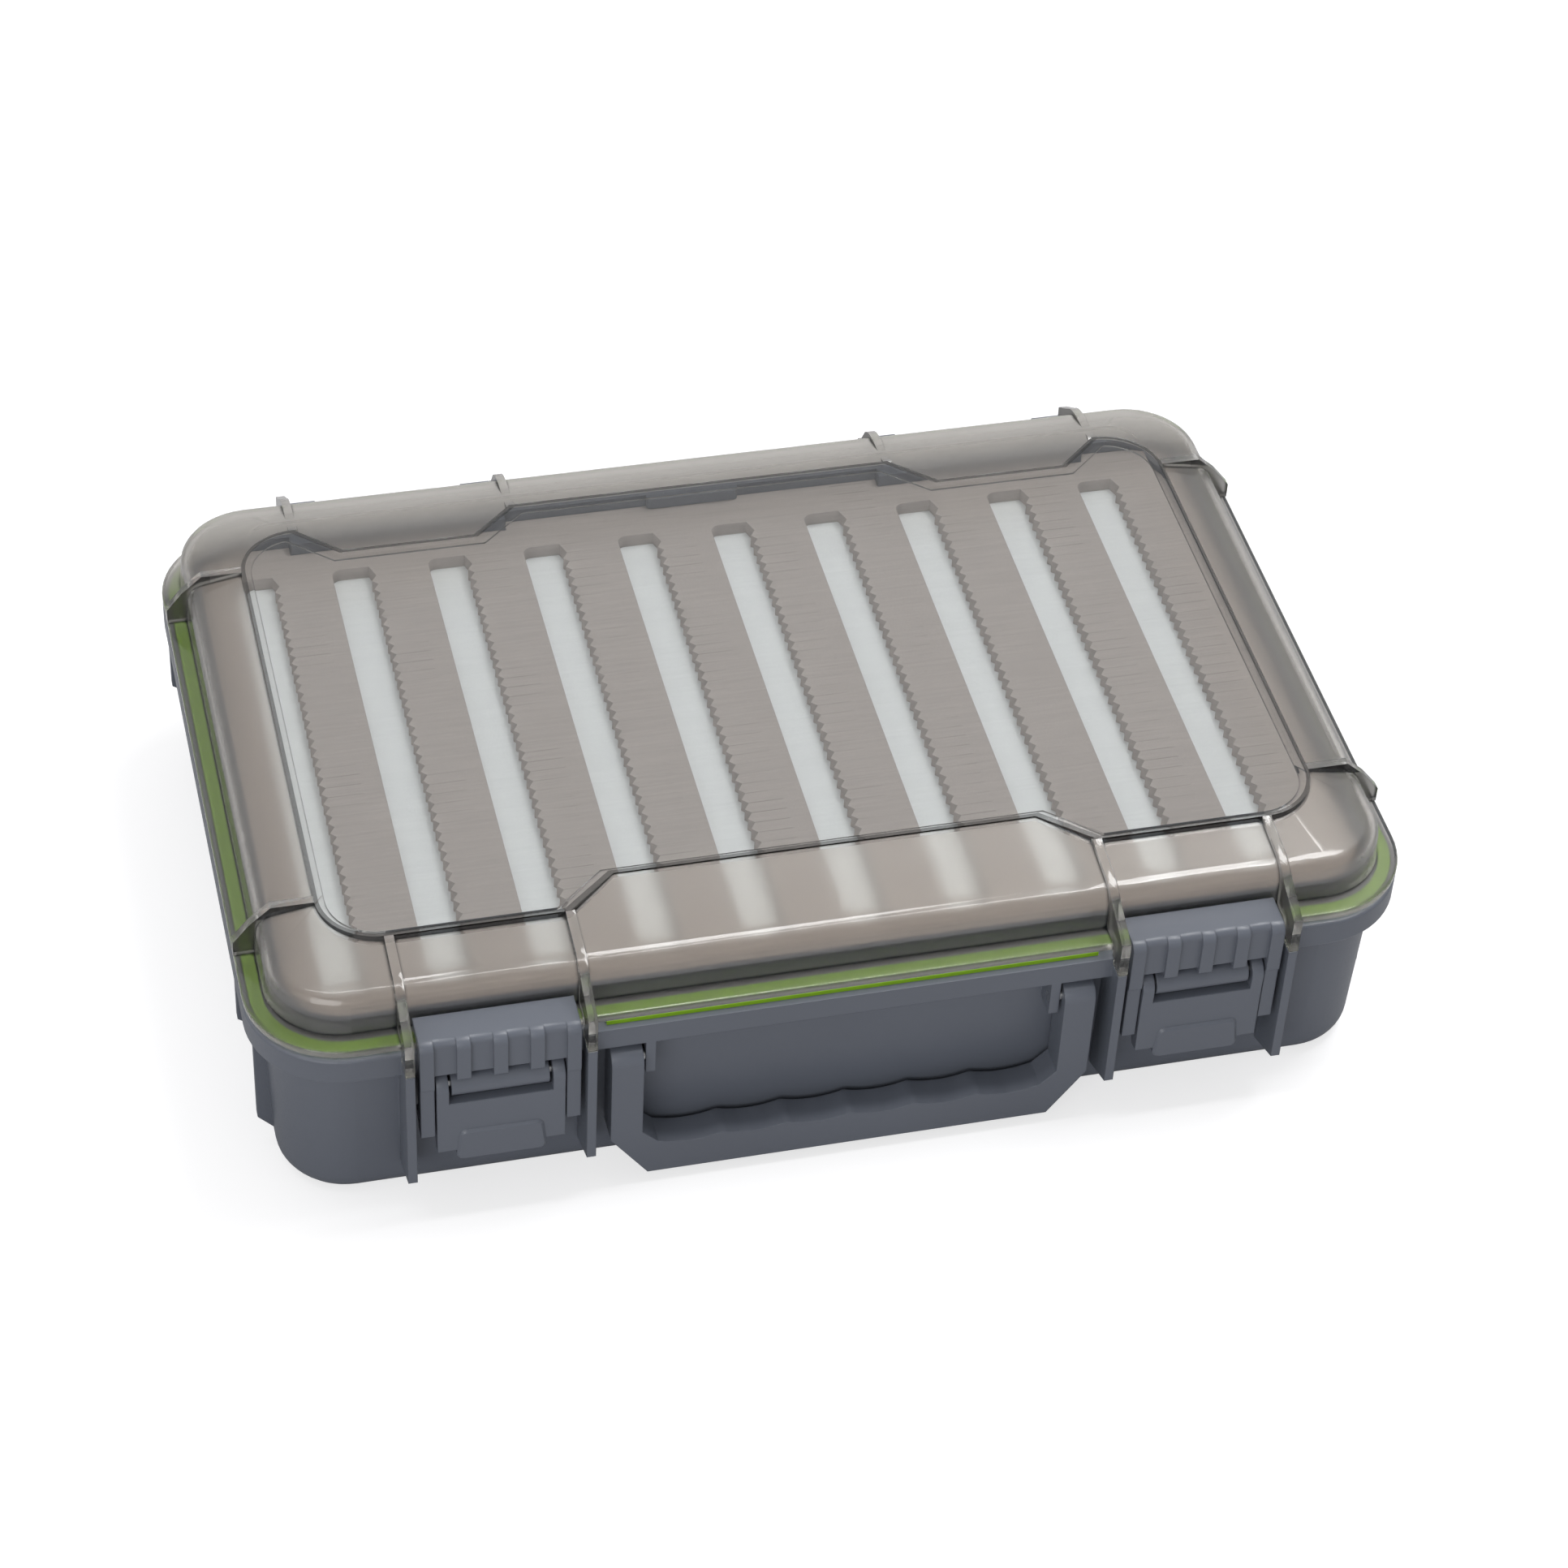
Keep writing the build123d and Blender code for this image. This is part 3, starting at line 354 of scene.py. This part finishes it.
def eva_foam(name, light, dark, slits=False):
    """EVA foam, skived from a block: dead matt, with open cells on its cut skin. The slit
    sheet has a fine knife cut from each tooth into the strip beside it."""
    material, tree, output = new_material(name)
    place = add_node(tree, "TexCoord").outputs["Object"]
    cells = add_node(tree, "TexVoronoi", {"feature": "F1"},
                     {"Vector": place, "Scale": 1 / (0.7 * MM)})
    shade = add_node(tree, "TexNoise", inputs={"Vector": place, "Scale": 1 / (9 * MM),
                                               "Detail": 6.0})
    # Lines left by the skiving knife, along the sheet.
    stretched = add_node(tree, "Mapping", inputs={"Vector": place, "Scale": (0.04, 1.0, 1.0)})
    skive = add_node(tree, "TexNoise", inputs={"Vector": stretched.outputs["Vector"],
                                               "Scale": 1 / (0.9 * MM), "Detail": 3.0})
    lines = add_node(tree, "MapRange", inputs={"Value": skive.outputs["Fac"], "From Min": 0.3,
                                               "From Max": 0.7})
    mottle = add_node(tree, "Mix", {"data_type": "FLOAT"},
                      {"Factor": 0.6, "A": shade.outputs["Fac"], "B": lines.outputs["Result"]})
    colour = add_node(tree, "Mix", {"data_type": "RGBA"},
                      {"Factor": mottle.outputs["Result"], "A": linear(dark), "B": linear(light)}
                      ).outputs["Result"]
    height = cells.outputs["Distance"]
    if slits:
        cut = slit_mask(tree, place)
        colour = add_node(tree, "Mix", {"data_type": "RGBA"},
                          {"Factor": cut, "A": colour, "B": linear("#6E675F")}).outputs["Result"]
    relief = add_node(tree, "Bump", inputs={"Height": height, "Strength": 0.25,
                                            "Distance": 0.1 * MM})
    surface = add_node(tree, "BsdfPrincipled", inputs={
        "Base Color": colour, "Roughness": 0.85, "Normal": relief.outputs["Normal"], "IOR": 1.45,
        "Specular IOR Level": 0.25})
    tree.links.new(surface.outputs["BSDF"], output.inputs["Surface"])
    return material


def slit_mask(tree, place):
    """1 on the knife cuts of the slit foam, fading where the foam has closed again."""
    split = add_node(tree, "SeparateXYZ", inputs={"Vector": place})
    first_edge = slot_shift - (slot_count - 1) / 2 * slot_pitch + slot_width / 2
    along = math_node(tree, "WRAP", split.outputs["X"], first_edge + slot_pitch, first_edge)
    into_strip = math_node(tree, "LESS_THAN", along, first_edge + tooth_depth + slit_length)
    row = math_node(tree, "PINGPONG", split.outputs["Y"], tooth_pitch / 2)
    knife = math_node(tree, "LESS_THAN", row, 0.12 * MM)
    worn = add_node(tree, "TexNoise", inputs={"Vector": place, "Scale": 1 / (30 * MM),
                                              "Detail": 2.0})
    open_part = add_node(tree, "MapRange", inputs={"Value": worn.outputs["Fac"], "From Min": 0.45,
                                                   "From Max": 0.65, "To Max": 0.6})
    return math_node(tree, "MULTIPLY", math_node(tree, "MULTIPLY", into_strip, knife),
                     open_part.outputs["Result"])


def drawn_steel():
    """Stainless steel wire, drawn: bright, with fine lines along its length."""
    material, tree, output = new_material("drawn_steel")
    place = add_node(tree, "TexCoord").outputs["Object"]
    stretched = add_node(tree, "Mapping", inputs={"Vector": place, "Scale": (0.02, 1.0, 1.0)})
    lines = add_node(tree, "TexNoise", inputs={"Vector": stretched.outputs["Vector"],
                                               "Scale": 1 / (0.15 * MM), "Detail": 2.0})
    gloss = add_node(tree, "MapRange", inputs={"Value": lines.outputs["Fac"], "To Min": 0.2,
                                               "To Max": 0.4})
    colour = add_node(tree, "Mix", {"data_type": "RGBA"},
                      {"Factor": lines.outputs["Fac"], "A": linear("#B9BABC"),
                       "B": linear("#CACBCD")})
    surface = add_node(tree, "BsdfPrincipled", inputs={
        "Base Color": colour.outputs["Result"], "Metallic": 1.0,
        "Roughness": gloss.outputs["Result"]})
    tree.links.new(surface.outputs["BSDF"], output.inputs["Surface"])
    return material


# ---------------------------------------------------------------- foam pieces
def arc(centre, radius, start, end, steps=6):
    """Points of an arc in the XY plane, angles in degrees."""
    angles = [radians(start + (end - start) * n / steps) for n in range(steps + 1)]
    return [(centre[0] + radius * cos(a), centre[1] + radius * sin(a)) for a in angles]


def rounded_outline(low, high, corner):
    """Outline of a rectangle with rounded corners, anticlockwise."""
    corners = [((high.x - corner, high.y - corner), 0), ((low.x + corner, high.y - corner), 90),
               ((low.x + corner, low.y + corner), 180), ((high.x - corner, low.y + corner), 270)]
    return [point for centre, start in corners for point in arc(centre, corner, start, start + 90)]


def tray_outline(low, high):
    """Outline of the foam in the tray: rounded corners, and stepped in at the hinge blocks."""
    plain = rounded_outline(low, high, foam_corner)
    front = high.y - hinge_block_reach
    steps = [(hinge_block_far, high.y), (hinge_block_far, front), (hinge_block_near, front),
             (hinge_block_near, high.y)]
    mirrored = [(-x, y) for x, y in reversed(steps)]
    corner_points = 7
    return plain[:corner_points] + steps + mirrored + plain[corner_points:]


def slot_outline(centre_x):
    """Outline of one slot: plain on its left side, toothed on its right."""
    left, right = centre_x - slot_width / 2, centre_x + slot_width / 2
    low_y, high_y = foam_low.y + slot_end_margin, foam_high.y - slot_end_margin
    outline = arc((left + slot_corner, high_y - slot_corner), slot_corner, 90, 180)
    outline += arc((left + slot_corner, low_y + slot_corner), slot_corner, 180, 270)
    outline.append((right, low_y))
    teeth = int((high_y - low_y) / tooth_pitch)
    first = -(teeth // 2) * tooth_pitch
    for n in range(teeth):
        middle = first + n * tooth_pitch
        outline.append((right, middle - tooth_pitch * tooth_lean))
        outline.append((right + tooth_depth, middle))
    outline.append((right, high_y))
    return outline


def sheet_with_holes(name, outline, holes, bottom, top, soften):
    """A flat foam sheet cut along closed outlines, with its cut edges slightly rounded."""
    curve = bpy.data.curves.new(name, "CURVE")
    curve.dimensions = "2D"
    curve.fill_mode = "BOTH"
    curve.extrude = (top - bottom) / 2
    for loop in [outline] + holes:
        spline = curve.splines.new("POLY")
        spline.points.add(len(loop) - 1)
        for point, (x, y) in zip(spline.points, loop):
            point.co = (x, y, 0, 1)
        spline.use_cyclic_u = True
    holder = bpy.data.objects.new(name + ".cut", curve)
    bpy.context.scene.collection.objects.link(holder)
    mesh = bpy.data.meshes.new_from_object(holder)
    bpy.data.objects.remove(holder)
    mesh.transform(Matrix.Translation((0, 0, (top + bottom) / 2)))
    work = bmesh.new()
    work.from_mesh(mesh)
    bmesh.ops.remove_doubles(work, verts=work.verts, dist=1e-6)
    bmesh.ops.recalc_face_normals(work, faces=work.faces)
    bmesh.ops.dissolve_limit(work, angle_limit=radians(1), verts=work.verts, edges=work.edges)
    work.to_mesh(mesh)
    work.free()
    piece = bpy.data.objects.new(name, mesh)
    bpy.context.scene.collection.objects.link(piece)
    edge = piece.modifiers.new("soft edge", "BEVEL")
    edge.width = soften
    edge.segments = 2
    edge.limit_method = "ANGLE"
    edge.angle_limit = sharp_angle
    return piece


def place_foam(piece, node, material):
    """The foam piece stands for its CAD solid and rides with the tub."""
    piece.data.materials.append(material)
    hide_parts(node)
    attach(piece, "tub")


def make_foam():
    """The three foam pieces of the tray and the tub."""
    taupe = eva_foam("taupe_eva_foam", "#B6AEA9", "#A9A19D", slits=True)
    plain_taupe = eva_foam("taupe_eva_foam_plain", "#B6AEA9", "#A9A19D")
    white = eva_foam("white_eva_foam", "#F2F5F6", "#E8EBEC")
    centres = [slot_shift + (n - (slot_count - 1) / 2) * slot_pitch for n in range(slot_count)]
    slots = [slot_outline(x) for x in centres]
    slit_sheet = sheet_with_holes("slit_foam_sheet", tray_outline(foam_low, foam_high), slots,
                                  foam_low.z, foam_high.z, 0.25 * MM)
    place_foam(slit_sheet, "slit_foam", taupe)
    under_sheet = sheet_with_holes("backing_foam_sheet", tray_outline(back_low, back_high), [],
                                   back_low.z, back_high.z, 0.3 * MM)
    place_foam(under_sheet, "backing_foam", white)
    pad = sheet_with_holes("floor_foam_pad",
                           rounded_outline(floor_low, floor_high, 9.5 * MM), [],
                           floor_low.z, floor_high.z, 1.0 * MM)
    place_foam(pad, "floor_foam", plain_taupe)


def dress_cad_nodes():
    """Each CAD node that keeps its shape gets its finish."""
    finishes = {"slate_plastic": moulded_abs(), "smoke_clear": smoked_clear_plastic(),
                "green_silicone": silicone(), "pin_steel": drawn_steel()}
    slot_of = {part["node"]: part["material_slot"] for part in frame["record"]["subparts"]}
    for name, piece in frame["nodes"].items():
        finish = finishes.get(slot_of[name])
        if finish is None:
            continue
        piece.data.materials.clear()
        piece.data.materials.append(finish)
    round_edges(frame["nodes"]["lid"], lid_edge)
    round_edges(frame["nodes"]["handle"], handle_edge)
    for side in ("left", "right"):
        round_edges(frame["nodes"]["latch_clamp_" + side], latch_edge)
        round_edges(frame["nodes"]["latch_lever_" + side], latch_edge)


def round_edges(piece, width):
    """Slightly round the sharp edges of a moulding, as its mould does."""
    weld = piece.modifiers.new("joined facets", "WELD")
    weld.merge_threshold = 0.001 * MM
    edge = piece.modifiers.new("rounded edges", "BEVEL")
    edge.width = width
    edge.segments = 3
    edge.limit_method = "ANGLE"
    edge.angle_limit = sharp_angle
    edge.harden_normals = True


# ---------------------------------------------------------------- stage
def add_camera():
    """Camera above and to the left of the front, with a slight roll."""
    bearing, rise, roll = radians(-15.655), radians(42.974), radians(3.327)
    back = Vector((sin(bearing) * cos(rise), -cos(bearing) * cos(rise), sin(rise)))
    right = Vector((0, 0, 1)).cross(back).normalized()
    up = back.cross(right)
    right_rolled = right * cos(roll) + up * sin(roll)
    up_rolled = up * cos(roll) - right * sin(roll)
    turn = Matrix((right_rolled, up_rolled, back)).transposed()
    camera = bpy.data.objects.new("camera", bpy.data.cameras.new("camera"))
    camera.data.sensor_width = 36
    camera.data.lens = 95.85
    camera.matrix_world = Matrix.Translation((-0.21954, -0.80725, 0.81390)) @ turn.to_4x4()
    camera.data.clip_start = 0.01
    bpy.context.scene.collection.objects.link(camera)
    bpy.context.scene.camera = camera


def add_area_light(name, place, target, size, power):
    """A rectangular soft box aimed at a point."""
    light = bpy.data.lights.new(name, "AREA")
    light.shape = "RECTANGLE"
    light.size, light.size_y = size
    light.energy = power
    lamp = bpy.data.objects.new(name, light)
    lamp.location = place
    lamp.rotation_euler = (Vector(target) - Vector(place)).to_track_quat("-Z", "Y").to_euler()
    bpy.context.scene.collection.objects.link(lamp)


def add_floor():
    """Large white floor that keeps the object's shadow."""
    mesh = bpy.data.meshes.new("floor")
    reach = 6.0
    corners = [(-reach, -reach, 0), (reach, -reach, 0), (reach, reach, 0), (-reach, reach, 0)]
    mesh.from_pydata(corners, [], [(0, 1, 2, 3)])
    floor = bpy.data.objects.new("floor", mesh)
    bpy.context.scene.collection.objects.link(floor)
    material, tree, output = new_material("white_floor")
    lit = add_node(tree, "BsdfDiffuse", inputs={"Color": (0.5, 0.5, 0.51, 1)})
    path = add_node(tree, "LightPath")
    seen = math_node(tree, "MAXIMUM", path.outputs["Is Camera Ray"],
                     path.outputs["Is Transmission Ray"])
    # The lamps fade with distance, and the glow makes up for it, so the floor has no far edge.
    distance = add_node(tree, "VectorMath", {"operation": "LENGTH"},
                        {0: add_node(tree, "TexCoord").outputs["Object"]}).outputs["Value"]
    level = add_node(tree, "MapRange", inputs={"Value": distance, "From Min": 0.5, "From Max": 2.5,
                                               "To Min": 0.64, "To Max": 1.0})
    strength = math_node(tree, "MULTIPLY", seen, level.outputs["Result"])
    glow = add_node(tree, "Emission", inputs={"Color": (1, 1, 1, 1), "Strength": strength})
    both = add_node(tree, "AddShader", inputs={0: lit.outputs["BSDF"],
                                               1: glow.outputs["Emission"]})
    tree.links.new(both.outputs["Shader"], output.inputs["Surface"])
    mesh.materials.append(material)


def light_the_scene():
    """A soft box high on the right, a long strip overhead, a large box in front on the left, and
    a surround that looks white."""
    add_area_light("high_key", (0.55, 0.25, 1.5), (0, 0, 0.03), (0.7, 0.5), 12)
    add_area_light("overhead_strip", (0.0, -0.12, 1.5), (0, -0.12, 0.03), (1.8, 0.1), 4.5)
    add_area_light("front_fill", (-0.9, -1.5, 0.8), (0, 0, 0.04), (1.2, 1.0), 12)
    world = bpy.data.worlds.new("surround")
    world.use_nodes = True
    tree = world.node_tree
    background = tree.nodes["Background"]
    background.inputs["Color"].default_value = (1, 1, 1, 1)
    path = add_node(tree, "LightPath")
    seen = math_node(tree, "MAXIMUM", path.outputs["Is Camera Ray"],
                     path.outputs["Is Transmission Ray"])
    # The surround is white behind the box and dim on the side it is looked at from.
    way = add_node(tree, "SeparateXYZ", inputs={
        "Vector": add_node(tree, "TexCoord").outputs["Generated"]}).outputs["Y"]
    surround = add_node(tree, "MapRange", inputs={"Value": way, "From Min": -0.7, "From Max": 0.8,
                                                  "To Min": 0.36, "To Max": 0.75})
    strength = add_node(tree, "MapRange", inputs={"Value": seen,
                                                  "To Min": surround.outputs["Result"],
                                                  "To Max": 1.0})
    tree.links.new(strength.outputs["Result"], background.inputs["Strength"])
    bpy.context.scene.world = world
    bpy.context.scene.view_settings.view_transform = "Standard"


dress_cad_nodes()
make_foam()
add_camera()
light_the_scene()
add_floor()
